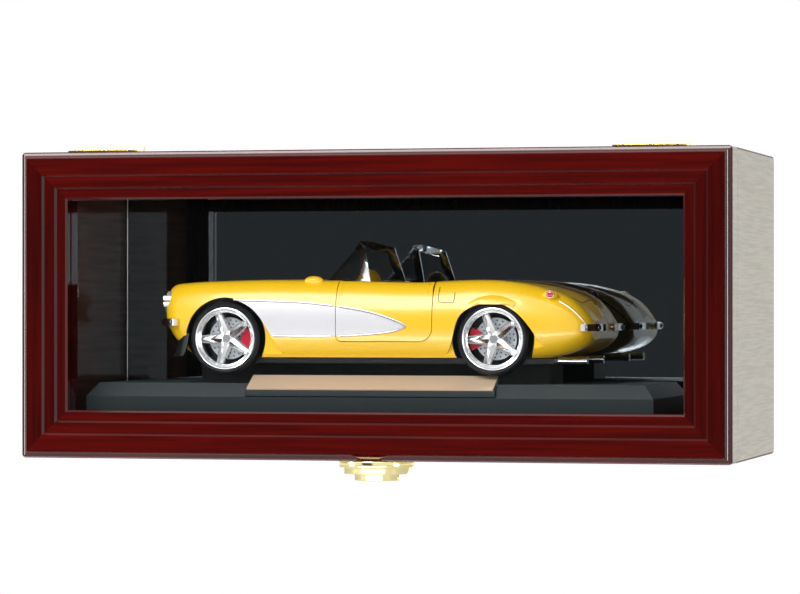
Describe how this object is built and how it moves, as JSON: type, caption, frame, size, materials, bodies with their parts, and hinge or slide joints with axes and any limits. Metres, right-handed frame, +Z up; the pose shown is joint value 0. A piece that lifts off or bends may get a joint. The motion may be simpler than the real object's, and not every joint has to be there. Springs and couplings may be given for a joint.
{
  "type": "model car display case",
  "caption": "Wall-hung wooden display case with a lift-up glazed door, mirror back and a model roadster on a plinth.",
  "frame": {"origin": "middle of the back face, which lies on the wall", "axes": "+X along the case to the viewer's right, +Y into the wall, +Z up"},
  "size_m": [0.376, 0.145, 0.1738],
  "materials": {
    "case_wood": "satin cherry inside, pale laminate outside",
    "door_wood": "high-gloss dark cherry lacquer",
    "mirror": "smoked",
    "glass": "clear",
    "felt": "felt",
    "brass": "polished",
    "steel": "plain",
    "plinth": "dark, with a pebbled top",
    "name_plate": "satin rose gold, bare",
    "car_paint": "gloss yellow",
    "cove_paint": "gloss white",
    "car_black": "matt",
    "car_trim": "moulded",
    "chrome": "plated",
    "lamp": "clear dome over a bright bowl",
    "tail_lens": "clear red",
    "caliper": "gloss red",
    "tyre": "satin"
  },
  "bodies": {
    "case": {"case_top_board": "case_wood", "case_bottom_board": "case_wood", "case_left_side": "case_wood", "case_right_side": "case_wood", "back_panel": "case_wood", "back_mirror": "mirror", "wall_hangers": "steel", "hinge_case_leaves": "brass", "hinge_pins": "brass", "clasp_case_half": "brass", "clasp_hook_pin": "steel", "clasp_springs": "steel", "plinth_base": "plinth", "plinth_riser": "plinth", "plinth_screws": "steel", "car_screws": "steel", "name_block": "plinth", "name_plate": "name_plate", "roadster_body": "car_paint", "chassis_pan": "car_black", "cockpit_tub": "car_trim", "seats": "car_trim", "steering_wheel": "car_trim", "windscreen_frame": "chrome", "windscreen_glass": "glass", "radiator_grille": "chrome", "headlamps": "lamp", "front_bumpers": "chrome", "rear_bumpers": "chrome", "tail_lamps": "tail_lens", "wing_mirror": "car_paint", "exhaust_tips": "chrome", "brake_calipers": "caliper", "cove_panels": "cove_paint"},
    "door": {"door_top_rail": "door_wood", "door_bottom_rail": "door_wood", "door_left_stile": "door_wood", "door_right_stile": "door_wood", "door_glass": "glass", "glass_stops": "door_wood", "door_bumpers": "felt", "hinge_door_leaves": "brass", "clasp_door_half": "brass"},
    "button": {"release_button": "brass"},
    "hook": {"clasp_hook": "steel"},
    "front_wheels": {"front_axle": "steel", "front_rims": "chrome", "front_tyres": "tyre"},
    "rear_wheels": {"rear_axle": "steel", "rear_rims": "chrome", "rear_tyres": "tyre"},
    "car_door_left": {"roadster_door_left": "car_paint", "door_cove_left": "cove_paint"},
    "car_door_right": {"roadster_door_right": "car_paint", "door_cove_right": "cove_paint"}
  },
  "joints": [
    {"name": "door_lift", "type": "hinge", "parent": "case", "child": "door", "pos_m": [0, -0.1252, 0.08175], "axis": [-1, 0, 0], "range_deg": [0, 180]},
    {"name": "button_press", "type": "slide", "parent": "case", "child": "button", "axis": [0, 0, 1], "range_m": [0, 0.0013], "stiffness_N_per_m": 300, "springref_m": -0.003, "deforming": ["clasp_springs"]},
    {"name": "hook_rock", "type": "hinge", "parent": "case", "child": "hook", "pos_m": [0, -0.11885, -0.0829], "axis": [1, 0, 0], "range_deg": [0, 18]},
    {"name": "front_axle_spin", "type": "hinge", "parent": "case", "child": "front_wheels", "pos_m": [-0.085, -0.068, -0.0175], "axis": [0, 1, 0], "continuous": true},
    {"name": "rear_axle_spin", "type": "hinge", "parent": "case", "child": "rear_wheels", "pos_m": [0.059, -0.068, -0.0175], "axis": [0, 1, 0], "continuous": true},
    {"name": "car_door_left_swing", "type": "hinge", "parent": "case", "child": "car_door_left", "pos_m": [-0.0243, -0.1175, -0.003], "axis": [0, 0, -1], "range_deg": [0, 18]},
    {"name": "car_door_right_swing", "type": "hinge", "parent": "case", "child": "car_door_right", "pos_m": [-0.0243, -0.0185, -0.003], "axis": [0, 0, 1], "range_deg": [0, 8]}
  ],
  "couplings": [
    {"joint": "hook_rock", "follows": "button_press", "rad_per_m": 238.09}
  ]
}
